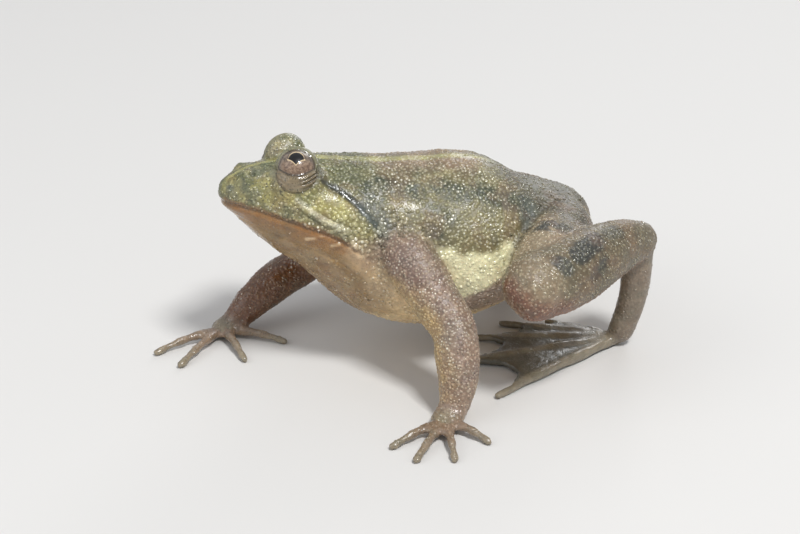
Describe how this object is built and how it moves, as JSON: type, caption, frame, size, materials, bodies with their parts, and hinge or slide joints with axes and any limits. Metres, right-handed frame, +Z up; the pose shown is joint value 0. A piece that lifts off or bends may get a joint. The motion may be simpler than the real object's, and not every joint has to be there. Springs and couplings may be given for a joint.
{
  "type": "frog",
  "caption": "Life-size still model of a green puddle frog sitting at rest: plump granular body, raised eyes, splayed front hands and folded hind legs with webbed feet.",
  "frame": {"origin": "on the floor, under the middle of the model's bounding box", "axes": "the frog faces -Y, its left side is +X and +Z is up; the longest way through the model is along Y and the shortest is upright"},
  "size_m": [0.0392, 0.0436, 0.0209],
  "materials": {
    "skin": "wet, fine-grained olive to grey-brown skin, paler below",
    "eye": "wet, glossy eyeball with a mottled mauve-grey iris and a black pupil"
  },
  "bodies": {
    "root": {"head": "skin", "lower_jaw": "skin", "torso": "skin", "upper_arm_left": "skin", "forearm_left": "skin", "hand_left": "skin", "upper_arm_right": "skin", "forearm_right": "skin", "hand_right": "skin", "thigh_left": "skin", "shank_left": "skin", "tarsus_left": "skin", "foot_left": "skin", "thigh_right": "skin", "shank_right": "skin", "tarsus_right": "skin", "foot_right": "skin", "eye_left": "eye", "eye_right": "eye"}
  },
  "joints": []
}
